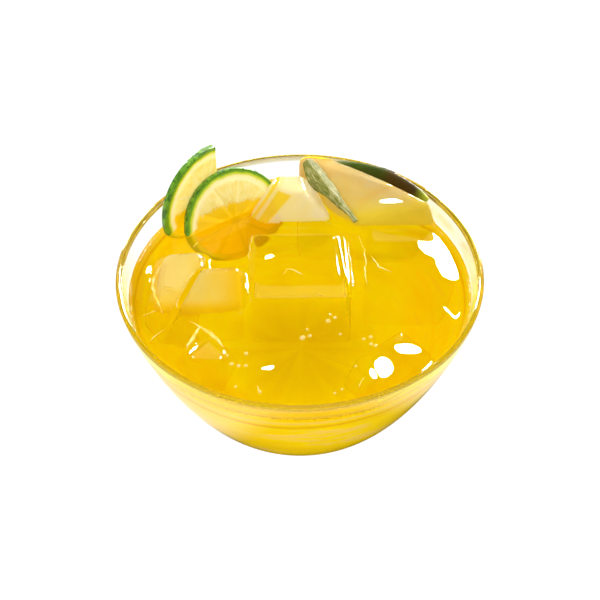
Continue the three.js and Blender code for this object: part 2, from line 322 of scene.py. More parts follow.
def glass_material():
    """Clear glass, tinted above the syrup's level on the eater's side and at the right with painted
    golden light and reflections of the syrup.
    """
    made, tree, shader, out = blank_material("clear bowl glass")
    place = object_place(tree)
    x, y, z = parts_of(tree, place)
    radius = flat_length(tree, x, y)
    right = mapped(tree, maths(tree, "DIVIDE", x, radius), -0.1, 0.7)
    front = mapped(tree, maths(tree, "DIVIDE", y, radius), 0.35, -0.45)
    streak = noise_on(tree, round_bowl(tree, place, 2.2, 120.0), 1.3, 3.0)
    # painted golden streaks and pale reflections that the glass shows above the syrup
    wet = ramp_of(tree, streak, [
        (0.36, (0.92, 0.72, 0.3)), (0.46, (0.98, 0.9, 0.6)), (0.64, (0.99, 0.95, 0.8))])
    tint = blend_colours(tree, right, WHITE, wet)
    # painted golden light of the syrup on the front wall above its level
    tint = blend_colours(tree, front, tint, (0.97, 0.86, 0.06))
    # painted shade: the lip is darker and olive, for the dark line along the rim's edge
    lip = blend_colours(tree, right, (0.48, 0.41, 0.2), (0.42, 0.35, 0.18))
    tint = blend_colours(tree, mapped(tree, z, *SHADED_LIP), tint, lip)
    tint = blend_colours(tree, mapped(tree, z, *PAINTED_GOLD_ON_GLASS), WHITE, tint)
    tree.links.new(tint, shader.inputs["Base Color"])
    # painted golden light that the front wall shows from the syrup inside, a glow in level bands
    level = mapped(tree, swaying_height(tree, place, 0.0016), *GLASS_GLOW_HEIGHTS)
    band = ramp_of(tree, level, [
        (0.0, BLACK), (0.16, (0.02, 0.02, 0.0)), (0.3, (0.09, 0.08, 0.02)), (0.42, (0.12, 0.1, 0.0)),
        (0.6, (0.12, 0.1, 0.0)), (0.75, (0.08, 0.08, 0.04)), (0.9, BLACK)])
    tree.links.new(blend_colours(tree, front, BLACK, band), shader.inputs["Emission Color"])
    set_values(shader, {"Emission Strength": 1.0, "Roughness": 0.0, "IOR": GLASS_IOR,
                        "Transmission Weight": 1.0})
    bump(tree, shader, noise_on(tree, place, 14.0, 1.0), 0.0006, 0.12)
    absorb(tree, out, (0.6, 0.55, 0.45), 4.0)
    return made


def wet_material(name, low_tint, high_tint, heights):
    """Clear and wet, with one tint below a pair of heights and another above it. The low tint is darker
    at the front middle and at the far left: painted shade."""
    made, tree, shader, out = blank_material(name)
    place = object_place(tree)
    x, _, z = parts_of(tree, place)
    from_middle = from_oval(tree, place, PAINTED_SHADE_MIDDLE, PAINTED_SHADE_HALVES)
    tint = blend_colours(tree, mapped(tree, from_middle, 0.2, 1.0), PAINTED_SHADE_TINT, low_tint)
    tint = blend_colours(tree, mapped(tree, x, *PAINTED_SHADE_LEFT), PAINTED_SHADE_TINT, tint)
    tint = blend_colours(tree, mapped(tree, z, *heights), tint, high_tint)
    tree.links.new(tint, shader.inputs["Base Color"])
    set_values(shader, {"Roughness": 0.0, "IOR": SYRUP_IOR, "Transmission Weight": 1.0})
    bump(tree, shader, noise_on(tree, place, 40.0, 0.0), 0.0006, 0.07)
    absorb(tree, out, SYRUP_TINT, SYRUP_DENSITY)
    return made


def clouded_syrup_material():
    """The syrup where it meets the glass: the pulp in it scatters light, so it glows golden."""
    made, tree, shader, out = blank_material("clouded syrup")
    place = object_place(tree)
    band = noise_on(tree, round_bowl(tree, place, 1.1, 75.0), 1.0, 4.0, 0.55)
    colour = ramp_of(tree, band, [
        (0.30, (0.86, 0.6, 0.0)), (0.42, (0.95, 0.7, 0.0)), (0.55, (0.98, 0.76, 0.0)),
        (0.62, (0.95, 0.7, 0.16)), (0.68, (0.97, 0.75, 0.0))])
    # a pale ring and a deeper one below it: painted bands of light and shade that the curved wall shows
    level = mapped(tree, swaying_height(tree, place, 0.006), *PAINTED_RING_HEIGHTS)
    painted_light_ring = ramp_of(tree, level, [(0.53, BLACK), (0.66, (0.7, 0.7, 0.7)), (0.8, BLACK)])
    painted_shade_ring = ramp_of(tree, level, [(0.18, BLACK), (0.32, (0.9, 0.9, 0.9)), (0.45, BLACK)])
    colour = blend_colours(tree, painted_light_ring, colour, (0.95, 0.68, 0.2))
    colour = blend_colours(tree, painted_shade_ring, colour, (0.68, 0.42, 0.0))
    colour_and_glow(tree, shader, colour, 0.4)
    set_values(shader, {"Roughness": 0.3, "IOR": SYRUP_IOR, "Specular IOR Level": 0.0,
                        "Transmission Weight": 0.35})
    absorb(tree, out, SYRUP_TINT, SYRUP_DENSITY)
    return made


def jelly_material(name, haze, tint, cloud_tint, roughness, zones=(), glow=0.0):
    """Jelly under its wet film: nearly the syrup's own refraction, with a milky haze on each face that
    glows with the light inside. Each zone is a direction, the two distances along it, in millimetres,
    between which the zone begins, and its tint."""
    made, tree, shader, _ = blank_material(name)
    place = object_place(tree)
    cloud = noise_on(tree, place, 55.0, 3.0, 0.55, 0.6)
    colour = ramp_of(tree, cloud, [(0.38, cloud_tint), (0.62, tint)])
    middle = ZONE_WANDER / 2
    for towards, start, full, zone_tint in zones:
        along = tree.nodes.new("ShaderNodeVectorMath")
        along.operation = "DOT_PRODUCT"
        tree.links.new(place, along.inputs[0])
        along.inputs[1].default_value = towards
        wander = maths(tree, "MULTIPLY_ADD", cloud, ZONE_WANDER * MM, along.outputs["Value"])
        share = mapped(tree, wander, (start + middle) * MM, (full + middle) * MM)
        colour = blend_colours(tree, share, colour, zone_tint)
    colour_and_glow(tree, shader, colour, glow)
    set_values(shader, {"Roughness": roughness, "IOR": JELLY_IOR, "Transmission Weight": 1.0 - haze})
    bump(tree, shader, noise_on(tree, place, 120.0, 2.0), 0.0008, 0.5)
    return made


def floor_material():
    """Pale and glowing, though shiny surfaces see it nearly black in an oval under the bowl: a painted
    shade.
    """
    made, tree, shader, _ = blank_material("pale studio floor")
    place = object_place(tree)
    speck = noise_on(tree, place, 9.0, 4.0)
    colour = ramp_of(tree, speck, [(0.3, (0.11, 0.11, 0.11)), (0.7, (0.12, 0.12, 0.12))])
    seen = blend_colours(tree, mirrored(tree), colour, (0.02, 0.02, 0.01))
    tree.links.new(seen, shader.inputs["Base Color"])
    # painted shade: shiny surfaces see the floor's glow dark in an oval under the bowl
    outside = mapped(tree, from_oval(tree, place, SHADE_MIDDLE, SHADE_HALVES), 0.85, 1.3)
    mirrored_glow_with_painted_shade = blend_colours(tree, outside, (0.03, 0.015, 0.0), (1.0, 0.95, 0.8))
    glow = blend_colours(tree, mirrored(tree), WHITE, mirrored_glow_with_painted_shade)
    tree.links.new(glow, shader.inputs["Emission Color"])
    set_values(shader, {"Roughness": 0.9, "Specular IOR Level": 0.1, "Emission Strength": FLOOR_GLOW})
    return made


# ---------------------------------------------------------------- making pieces

def piece_from(name, mesh, *materials, smooth=True):
    made = bpy.data.objects.new(name, mesh)
    bpy.context.scene.collection.objects.link(made)
    for one in materials:
        mesh.materials.append(one)
    if smooth:
        mesh.polygons.foreach_set("use_smooth", [True] * len(mesh.polygons))
    return made


def mesh_from(bm, name):
    mesh = bpy.data.meshes.new(name)
    bm.to_mesh(mesh)
    bm.free()
    return mesh


def turned(profile, steps):
    """A closed solid turned about Z from [radius, height] points that start and end on the axis."""
    bm = bmesh.new()
    line = [bm.verts.new((r, 0, z)) for r, z in profile]
    edges = [bm.edges.new(pair) for pair in zip(line, line[1:])]
    bmesh.ops.spin(bm, geom=line + edges, cent=(0, 0, 0), axis=(0, 0, 1), angle=math.tau,
                   steps=steps, use_merge=True, use_duplicate=False)
    bmesh.ops.remove_doubles(bm, verts=bm.verts, dist=1e-6)
    bmesh.ops.recalc_face_normals(bm, faces=bm.faces)
    return bm


def node_copy(name):
    """A CAD node's shape as one joined mesh of its own."""
    bm = bmesh.new()
    bm.from_mesh(nodes[name].data)
    bmesh.ops.remove_doubles(bm, verts=bm.verts, dist=1e-6)
    return bm


def remeshed(parts, name, voxel, smoothing):
    """The parts joined into one skin of even faces, with soft fillets where they meet."""
    joined = bmesh.new()
    for part in parts:
        holder = mesh_from(part, "holder")
        joined.from_mesh(holder)
        bpy.data.meshes.remove(holder)
    draft = bpy.data.objects.new("draft", mesh_from(joined, "draft"))
    bpy.context.scene.collection.objects.link(draft)
    skin = draft.modifiers.new("skin", "REMESH")
    skin.mode = "VOXEL"
    skin.voxel_size = voxel
    soften = draft.modifiers.new("soften", "SMOOTH")
    soften.factor = 0.5
    soften.iterations = smoothing
    bpy.context.view_layer.update()
    ready = draft.evaluated_get(bpy.context.evaluated_depsgraph_get())
    mesh = bpy.data.meshes.new_from_object(ready)
    mesh.name = name
    bpy.data.objects.remove(draft)
    return mesh


# ---------------------------------------------------------------- glass bowl

# Sizes are in millimetres from here on.
RIM_RADIUS = 80
BOWL_HEIGHT = 76
BASE_RADIUS = 35
FLOOR_THICKNESS = 5
WALL_THICKNESS = 2.3
LIP_THICKNESS = 2.4
WALL_STEPS = 48
LIP_STEPS = 14
BOWL_FACETS = 160


def outer_wall(share):
    spread = (1 - (1 - share) ** 1.15) ** (1 / 1.6)
    return Vector((BASE_RADIUS + (RIM_RADIUS - BASE_RADIUS) * spread,
                   (BOWL_HEIGHT - LIP_THICKNESS / 2) * share))


def wall_thickness(share):
    floor = max(0, 1 - share / 0.3) ** 2
    lip = max(0, (share - 0.92) / 0.08) ** 2
    return (WALL_THICKNESS + (FLOOR_THICKNESS - WALL_THICKNESS) * floor
            + (LIP_THICKNESS - WALL_THICKNESS) * lip)


def inner_wall(share, clearance=0.0):
    step = 0.002
    along = outer_wall(min(share + step, 1)) - outer_wall(max(share - step, 0))
    along.normalize()
    return outer_wall(share) + Vector((-along.y, along.x)) * (wall_thickness(share) + clearance)


# Shares of the height, closer together near the base, where the wall curves most.
WALL_SHARES = [(i / WALL_STEPS) ** 1.7 for i in range(WALL_STEPS + 1)]


def make_bowl():
    """The glass, turned from its foot out over the lip and back down inside."""
    profile = [Vector((0, 0))] + [outer_wall(share) for share in WALL_SHARES]
    radius = LIP_THICKNESS / 2
    middle = Vector((RIM_RADIUS - radius, BOWL_HEIGHT - radius))
    for i in range(1, LIP_STEPS):
        a = math.pi * i / LIP_STEPS
        profile.append(middle + Vector((math.cos(a), math.sin(a))) * radius)
    profile += [inner_wall(share) for share in reversed(WALL_SHARES)]
    profile.append(Vector((0, FLOOR_THICKNESS)))
    bm = turned([p * MM for p in profile], BOWL_FACETS)
    bowl = piece_from("clear_glass_bowl", mesh_from(bm, "clear_glass_bowl"), glass_material())
    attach(bowl, "root")
    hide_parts("glass_bowl")


# ---------------------------------------------------------------- syrup with its wet film

SYRUP_LEVEL = 65
MENISCUS_RISE = 0.5
MENISCUS_WIDTH = 1.0
MENISCUS_RINGS, RING_STEP = 7, 0.9
WATERLINE_RADIUS = 74.95
INTO_WALL = 1.3
RIPPLE = 0.01
NEAR_WALL = 70
SNAP = 1.5  # how far from the level the skin is drawn to it
FLAT, FLAT_SPAN = 0.95, 0.03  # the normal's Z where this drawing starts, and over how much it grows
POOL_FACETS = 120
SYRUP_VOXEL, SYRUP_SOFTENING = 0.9, 14
SOFT_ROUNDS, EDGE_ROUNDS = 25, 8  # more smoothing over the soft chunks and at the pool's edge
JELLY_VOXEL, JELLY_SOFTENING, SOFT_SOFTENING = 1.2, 4, 14
UNDER_FILM, SOFT_UNDER_FILM = 0.6, 1.0

JELLY = [name for name in sorted(nodes) if name.startswith("jelly")]
SOFT = ("jelly_chunk_left_lower", "jelly_chunk_left_upper")  # half melted, with blurred edges
PALE = ("jelly_wedge_back", "jelly_slab_back_right") + SOFT


def level_at(radius):
    """Height of the open syrup, which creeps up the wall."""
    return SYRUP_LEVEL + MENISCUS_RISE * math.exp(-max(0, WATERLINE_RADIUS - radius) / MENISCUS_WIDTH)


def pool():
    """The syrup's own body, which reaches just into the wall."""
    wall = [inner_wall(share, -INTO_WALL) for share in WALL_SHARES]
    points = [Vector((0, FLOOR_THICKNESS - INTO_WALL))] + [p for p in wall if p.y < SYRUP_LEVEL]
    edge = points[-1].x
    points.append(Vector((edge + 0.3, level_at(edge))))
    for i in range(1, MENISCUS_RINGS + 1):
        radius = WATERLINE_RADIUS - RING_STEP * i
        points.append(Vector((radius, level_at(radius))))
    points.append(Vector((0, SYRUP_LEVEL)))
    return turned([p * MM for p in points], POOL_FACETS)


def search_tree(meshes):
    """A tree of the meshes' faces, to look for the nearest one or for where a ray hits."""
    bm = bmesh.new()
    for mesh in meshes:
        bm.from_mesh(mesh)
    found = BVHTree.FromBMesh(bm)
    bm.free()
    return found


def smooth_where(mesh, chosen, rounds):
    """Evens out the skin at the places that are chosen."""
    bm = bmesh.new()
    bm.from_mesh(mesh)
    part = [vertex for vertex in bm.verts if chosen(vertex.co)]
    for _ in range(rounds):
        bmesh.ops.smooth_vert(bm, verts=part, factor=0.5,
                              use_axis_x=True, use_axis_y=True, use_axis_z=True)
    bm.to_mesh(mesh)
    bm.free()


def rippled_level_at(x, y):
    """The open syrup's height with its faint ripple, which fades towards the wall."""
    radius = math.hypot(x, y)
    fading = min(1, (WATERLINE_RADIUS - radius) / 6)
    return level_at(radius) + max(-0.2, RIPPLE * noise.noise(Vector((x, y, 0)) * 0.09) * fading)


def level_out(mesh):
    """Draws the skin's flat places to the level, and all of it near the wall."""
    ups = [vertex.normal.z for vertex in mesh.vertices]
    for vertex, up in zip(mesh.vertices, ups):
        x, y, z = vertex.co / MM
        level = rippled_level_at(x, y)
        if math.hypot(x, y) > NEAR_WALL and level - 3 < z < level + 0.5 and up > 0.02:
            vertex.co.z = level * MM
        elif up > FLAT and abs(z - level) < SNAP:
            held = min(1, (up - FLAT) / FLAT_SPAN) * min(1, 1.6 * (1 - (abs(z - level) / SNAP) ** 3))
            vertex.co.z = (z + (level - z) * held) * MM


def make_syrup():
    """One skin over the syrup and every chunk, clear above, clouded against the glass."""
    mesh = remeshed([pool()] + [node_copy(name) for name in JELLY], "golden_syrup_with_film",
                    SYRUP_VOXEL * MM, SYRUP_SOFTENING)
    soft_from = (SYRUP_LEVEL - 0.3) * MM
    near_soft = search_tree([nodes[name].data for name in SOFT])
    smooth_where(mesh, lambda co: co.z > soft_from and near_soft.find_nearest(co, 2 * MM)[0],
                 SOFT_ROUNDS)
    level_out(mesh)
    # the edge of the pool is hidden in the wall
    smooth_where(mesh, lambda co: co.xy.length > (WATERLINE_RADIUS + 0.1) * MM, EDGE_ROUNDS)
    syrup = piece_from(
        "golden_syrup_with_film", mesh,
        wet_material("golden syrup", (0.975, 0.95, 0.02), (0.98, 0.94, 0.5), PALE_FILM),
        clouded_syrup_material(),
        wet_material("thin clear film", (0.98, 0.93, 0.4), (0.995, 0.985, 0.93), CLEAR_FILM))
    near_pale = search_tree([nodes[name].data for name in PALE])
    for face in mesh.polygons:
        centre = face.center
        against_glass = face.normal.z < 0.3 and centre.z < (SYRUP_LEVEL - 0.5) * MM
        in_glass = centre.xy.length > (WATERLINE_RADIUS + 0.2) * MM
        if against_glass or in_glass or centre.z < FLOOR_THICKNESS * MM:
            face.material_index = 1
        elif centre.z > (SYRUP_LEVEL + 0.3) * MM and near_pale.find_nearest(centre, 1.6 * MM)[0]:
            face.material_index = 2
    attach(syrup, "root")
    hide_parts("lemon_syrup")
    return syrup


def face_of(azimuth, elevation, distance, centre):
    """The direction that a cut face looks along, and its distance from the frame's origin."""
    facing = direction(azimuth, elevation)
    return facing, distance + facing.dot(Vector(centre))


# The wedge's bevel is clear enough to show gold, apart from a pale line along its left edge.
WEDGE_CENTRE = (-3, 55, 54)
WEDGE_BEVEL, BEVEL_EDGE = face_of(-125, 50, 20.1, WEDGE_CENTRE)
WEDGE_LEFT, LEFT_EDGE = face_of(166, 35, 20.7, WEDGE_CENTRE)
WEDGE_CREST = 76.4


def make_jelly():
    """Each chunk, clear below the level and, where it is pale, veiled above it."""
    clear = jelly_material("clear jelly", 0.0, (0.99, 0.975, 0.85), (0.98, 0.95, 0.75), 0.15)
    tan = jelly_material(
        "hazy tan jelly", 0.6, (0.96, 0.83, 0.5), (0.95, 0.7, 0.24), 0.4,
        [((0, -1, 0), -53, -42, (1.0, 0.84, 0.1))], 0.06)
    white = jelly_material(
        "hazy white jelly", 0.6, (0.99, 0.97, 0.9), (0.98, 0.9, 0.62), 0.35,
        [(WEDGE_BEVEL, BEVEL_EDGE - 1.6, BEVEL_EDGE - 1.1, (0.96, 0.74, 0.06)),
         ((0, 0, 1), WEDGE_CREST - 1.4, WEDGE_CREST - 0.6, (0.98, 0.9, 0.66)),
         (WEDGE_LEFT, LEFT_EDGE - 4.0, LEFT_EDGE - 3.4, (0.97, 0.85, 0.45)),
         (WEDGE_LEFT, LEFT_EDGE - 2.4, LEFT_EDGE - 1.8, (0.96, 0.74, 0.06)),
         (WEDGE_LEFT, LEFT_EDGE - 1.1, LEFT_EDGE - 0.8, (0.97, 0.88, 0.6))], 0.16)
    yellow = jelly_material(
        "hazy yellow jelly", 0.4, (0.97, 0.9, 0.48), (0.95, 0.8, 0.22), 0.35,
        [((1, 0, 0), -44, -26, GOLDEN_JELLY), ((0, -1, 0), 6, 13, GOLDEN_JELLY),
         ((-1, 0, 0), 60, 66, GOLDEN_JELLY)], 0.04)
    veils = {"jelly_slab_back_right": tan, "jelly_wedge_back": white,
             "jelly_chunk_left_lower": yellow, "jelly_chunk_left_upper": yellow}
    for name in JELLY:
        softening = SOFT_SOFTENING if name in SOFT else JELLY_SOFTENING
        mesh = remeshed([node_copy(name)], name + "_cut", JELLY_VOXEL * MM, softening)
        piece = piece_from(name + "_cut", mesh, clear, veils.get(name, clear))
        for face in mesh.polygons:
            face.material_index = int(face.center.z > (SYRUP_LEVEL + 0.5) * MM)
        sink = piece.modifiers.new("under the film", "DISPLACE")
        sink.mid_level = 0
        sink.strength = -(SOFT_UNDER_FILM if name in SOFT else UNDER_FILM) * MM
        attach(piece, "root")
        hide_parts(name)


# ---------------------------------------------------------------- lime slices

LIME_RADIUS = 25.5
LIME_THICKNESS = 3.2
RIND_ROUNDING = 0.9
SEGMENTS = 9
FLESH_INNER, FLESH_OUTER = 2.6, 20.6
MEMBRANE_HALF = 0.22
LIME_FACETS = 128
FACE_INSET, FACE_SINK = 2.2, 0.12
PORE_SPREAD, PORE_SINK = 0.16, 0.12  # of the rind's surface, to both sides and inwards
SHARP_ANGLE = math.radians(40)
BACK_SLICE = {"azimuth": -41, "elevation": 0, "centre": (-44.5, 54.2, 73), "cut": 8.8}
FRONT_SLICE = {"azimuth": -57, "elevation": 25, "centre": (-29.9, 48.2, 62), "cut": 22.8}


def standing(azimuth, elevation, centre):
    """Turns a slice's face to look along an azimuth and elevation, with its own Y uphill."""
    facing = direction(azimuth, elevation)
    across = Vector((0, 0, 1)).cross(facing).normalized()
    uphill = facing.cross(across)
    turn = Matrix((across, uphill, facing)).transposed().to_4x4()
    return Matrix.Translation(Vector(centre) * MM) @ turn


def flesh_wedge(bm, index, side, cut):
    """One segment's flesh, a low cushion on the slice's face."""
    half = math.pi / SEGMENTS
    middle = (2 * index + 0.5) * half
    outline = []
    for radius, count in ((FLESH_OUTER, 9), (FLESH_INNER, 2)):
        spread = half - MEMBRANE_HALF / radius - (0.04 if radius == FLESH_OUTER else 0)
        sweep = [middle - spread + 2 * spread * i / (count - 1) for i in range(count)]
        if radius == FLESH_INNER:
            sweep.reverse()
        outline += [Vector((radius * math.cos(a), radius * math.sin(a), 0)) for a in sweep]
    if any(p.x > cut - 0.6 for p in outline):
        outline = [Vector((min(p.x, cut - 0.5), p.y, 0)) for p in outline]
        if max(p.x for p in outline) - min(p.x for p in outline) < 2:
            return
    base = side * (LIME_THICKNESS / 2 - 0.3)
    ring = [bm.verts.new((p.x * MM, p.y * MM, base * MM)) for p in outline]
    face = bm.faces.new(ring)
    raised = bmesh.ops.extrude_face_region(bm, geom=[face])["geom"]
    top = [g for g in raised if isinstance(g, bmesh.types.BMVert)]
    bmesh.ops.translate(bm, verts=top, vec=(0, 0, side * 0.2 * MM))
    rim = [e for e in raised if isinstance(e, bmesh.types.BMEdge)]
    bmesh.ops.bevel(bm, geom=rim, offset=0.06 * MM, segments=2, profile=0.5, affect="EDGES", material=-1)


def lime_material(name, place, shift, juice, glow):
    """Rind, pith, membranes and juicy flesh by the distance from the slice's own centre."""
    made, tree, shader, _ = blank_material(name)
    whole_place = object_place(tree)
    own = own_place(tree, whole_place, place.to_translation(), place.to_euler())
    x, y, _ = parts_of(tree, own)

    def sums(operation, *values):
        return maths(tree, operation, *values)

    def step(value, low, high, to_low=0.0, to_high=1.0):
        return mapped(tree, value, low, high, to_low, to_high)

    radius = flat_length(tree, x, y)
    angle = sums("ARCTAN2", y, x)
    wobble = noise_on(tree, own, 0.22, 3.0)
    edge = sums("ADD", radius, sums("MULTIPLY_ADD", wobble, 1.4, -0.7))

    # flesh: cells drawn out along the radius
    streak = noise_on(tree, unrolled(tree, angle, 7.0, radius, 0.22), 1.4, 3.0, 0.55)
    flesh = ramp_of(tree, streak, [
        (0.3, (0.84, 0.69, 0.15)), (0.5, (0.89, 0.74, 0.22)), (0.7, (0.93, 0.79, 0.30))])
    share = sums("FRACT", sums("MULTIPLY", sums("ADD", angle, math.pi - shift), SEGMENTS / math.tau))
    off = sums("MULTIPLY", sums("ABSOLUTE", sums("SUBTRACT", share, 0.5)), math.tau / SEGMENTS)
    to_membrane = sums("MULTIPLY", sums("SUBTRACT", math.pi / SEGMENTS, off), radius)
    membrane = sums("MAXIMUM", step(to_membrane, 0.2, 0.8, 1.0, 0.0), step(edge, 1.6, 2.8, 1.0, 0.0))
    pale = (0.95, 0.82, 0.40)
    inside = blend_colours(tree, sums("MULTIPLY", membrane, 0.5), flesh, pale)
    whole = blend_colours(tree, step(edge, 18.6, 20.6), inside, pale)
    # golden juice over the lower part, under a ragged curve
    curve = sums("MULTIPLY_ADD", sums("POWER", sums("SUBTRACT", x, juice[0]), 2.0), 0.009, y)
    ragged = noise_on(tree, own, 0.35, 4.0, 0.6)
    low = sums("MULTIPLY_ADD", ragged, 7.0, sums("SUBTRACT", curve, 3.5))
    sunk = step(parts_of(tree, whole_place)[2], *SUNK_LIME)
    reach = sums("MULTIPLY_ADD", sums("MAXIMUM", step(x, 2.0, 12.0), sunk), -8.0, edge)
    golden = sums("MULTIPLY", step(low, juice[1] - 1.6, juice[1] + 0.8, 1.0, 0.0),
                  step(reach, 18.8, 21.2, 1.0, 0.0))
    sunk_ring = sums("MULTIPLY", sums("MULTIPLY", sunk, step(edge, 20.5, 22.5)), step(x, -6.0, -18.0))
    golden = sums("MULTIPLY", golden, sums("MULTIPLY_ADD", sunk_ring, -0.45, 1.0))
    juice_colour = blend_colours(tree, sunk, (0.91, 0.59, 0.0), (0.88, 0.55, 0.0))
    whole = blend_colours(tree, step(edge, 21.3, 22.9), whole, (0.55, 0.62, 0.012))
    whole = blend_colours(tree, step(edge, 22.8, 23.9), whole, (0.13, 0.31, 0.014))
    skin = noise_on(tree, whole_place, 420.0, 2.0, 0.7)
    rind = ramp_of(tree, skin, [(0.38, (0.03, 0.12, 0.006)), (0.62, (0.15, 0.33, 0.015))])
    whole = blend_colours(tree, step(radius, 24.1, 25.0), whole, rind)
    whole = blend_colours(tree, golden, whole, juice_colour)
    # light that comes through the slice, and through the syrup round its lower part
    colour_and_glow(tree, shader, whole, glow)
    tree.links.new(sums("MULTIPLY_ADD", sunk, 0.2, glow), shader.inputs["Emission Strength"])
    set_values(shader, {"Roughness": 0.32, "Coat Weight": 0.15, "Coat Roughness": 0.12,
                        "Subsurface Weight": 0.25, "Subsurface Radius": (1.0, 0.9, 0.3),
                        "Subsurface Scale": 0.0022})
    grain = sums("ADD", sums("MULTIPLY", streak, step(edge, 19.0, 21.0, 0.5, 0.0)),
                 sums("MULTIPLY", skin, step(radius, 24.0, 25.0)))
    bump(tree, shader, sums("MULTIPLY", grain, sums("SUBTRACT", 1.0, golden)), 0.0007, 0.8)
    return made


def make_lime_slice(name, node, spec, juice, glow):
    """A round slice with a straight cut. Juice is the middle and the height of the golden part's edge,
    in millimetres on the slice."""
    place = standing(spec["azimuth"], spec["elevation"], spec["centre"])
    cut = spec["cut"]
    bm = bmesh.new()
    bmesh.ops.create_circle(bm, cap_ends=True, segments=LIME_FACETS, radius=LIME_RADIUS * MM)
    bmesh.ops.translate(bm, verts=bm.verts, vec=(0, 0, -LIME_THICKNESS / 2 * MM))
    grown = bmesh.ops.extrude_face_region(bm, geom=list(bm.faces))["geom"]
    bmesh.ops.translate(bm, verts=[g for g in grown if isinstance(g, bmesh.types.BMVert)],
                        vec=(0, 0, LIME_THICKNESS * MM))
    bmesh.ops.recalc_face_normals(bm, faces=bm.faces)
    rims = [e for e in bm.edges if drop_of(e) < 1e-6]
    bmesh.ops.bevel(bm, geom=rims, offset=RIND_ROUNDING * MM, segments=3, profile=0.5, affect="EDGES",
                    material=-1)
    sides = [e for e in bm.edges if drop_of(e) > 0.05 * MM]
    bmesh.ops.subdivide_edges(bm, edges=sides, cuts=2, use_grid_fill=True)
    for vertex in bm.verts:
        radius = math.hypot(vertex.co.x, vertex.co.y)
        if radius > (LIME_RADIUS - 0.5) * MM:
            pore = noise.noise(vertex.co * 900) * PORE_SPREAD - PORE_SINK
            vertex.co.x *= 1 + pore * MM / radius
            vertex.co.y *= 1 + pore * MM / radius
    for circle in [e for e in bm.faces if len(e.verts) > 30]:
        bmesh.ops.inset_region(bm, faces=[circle], thickness=FACE_INSET * MM, depth=-FACE_SINK * MM)
    geometry = list(bm.verts) + list(bm.edges) + list(bm.faces)
    result = bmesh.ops.bisect_plane(bm, geom=geometry, plane_co=(cut * MM, 0, 0), plane_no=(1, 0, 0),
                                    clear_outer=True)
    open_edges = [e for e in result["geom_cut"] if isinstance(e, bmesh.types.BMEdge)]
    bmesh.ops.contextual_create(bm, geom=open_edges)
    for side in (1, -1):
        for index in range(SEGMENTS):
            flesh_wedge(bm, index, side, cut)
    bmesh.ops.recalc_face_normals(bm, faces=bm.faces)
    bmesh.ops.transform(bm, matrix=place, verts=bm.verts)
    keep_inside_wall(bm)
    material = lime_material(name, place, 0.5 * math.pi / SEGMENTS, juice, glow)
    slice_piece = piece_from(name, mesh_from(bm, name), material)
    slice_piece.data.set_sharp_from_angle(angle=SHARP_ANGLE)
    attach(slice_piece, "root")
    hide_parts(node)


def drop_of(edge):
    """How far apart an edge's ends are along Z."""
    return abs(edge.verts[0].co.z - edge.verts[1].co.z)


def keep_inside_wall(bm):
    """Draws in what would reach into the glass."""
    for vertex in bm.verts:
        height = vertex.co.z / MM
        room = room_at(height) - 0.3
        radius = math.hypot(vertex.co.x, vertex.co.y) / MM
        if height < BOWL_HEIGHT and radius > room:
            vertex.co.x *= room / radius
            vertex.co.y *= room / radius


def room_at(height):
    """Inner radius of the bowl at a height, in millimetres."""
    low, high = 0.0, 1.0
    for _ in range(24):
        middle = (low + high) / 2
        if inner_wall(middle).y < height:
            low = middle
        else:
            high = middle
    return inner_wall(low).x


# ---------------------------------------------------------------- rind crescent and mint leaf

CRESCENT_START, CRESCENT_END = math.radians(79), math.radians(39)


def make_crescent():
    """The lime segment along the wall: rind outside, dark and brown with painted shade along its middle,
    yellow-green towards its end.
    """
    made, tree, shader, _ = blank_material("lime segment by the rim")
    place = object_place(tree)
    x, y, _ = parts_of(tree, place)
    fibre = noise_on(tree, place, 260.0, 3.0, 0.6)
    wander = maths(tree, "MULTIPLY_ADD", fibre, 0.06, maths(tree, "ARCTAN2", y, x))
    along = mapped(tree, wander, CRESCENT_START, CRESCENT_END, kind="LINEAR")
    # green rind at its ends; the dark green and brown along its middle are painted shade
    colour = ramp_of(tree, along, [
        (0.0, (0.18, 0.21, 0.06)), (0.18, (0.07, 0.12, 0.008)), (0.42, (0.055, 0.08, 0.005)),
        (0.55, (0.08, 0.045, 0.004)), (0.8, (0.06, 0.033, 0.003)), (0.88, (0.22, 0.25, 0.008)),
        (0.97, (0.55, 0.58, 0.05))])
    tree.links.new(colour, shader.inputs["Base Color"])
    set_values(shader, {"Roughness": 0.4, "Specular IOR Level": 0.25})
    bump(tree, shader, fibre, 0.0006, 0.7)
    mesh = mesh_from(node_copy("lime_slice_right"), "lime_segment_by_rim")
    piece = piece_from("lime_segment_by_rim", mesh, made)
    finer = piece.modifiers.new("rounded", "SUBSURF")
    finer.levels = finer.render_levels = 2
    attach(piece, "root")
    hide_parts("lime_slice_right")


LEAF_TIP = Vector((3.6, 69.5, 80.8))
LEAF_STEM = Vector((26.6, 38.5, 68.8))
LEAF_LEFT = direction(-142.5, 0)
LEAF_RUFFLE = 0.28


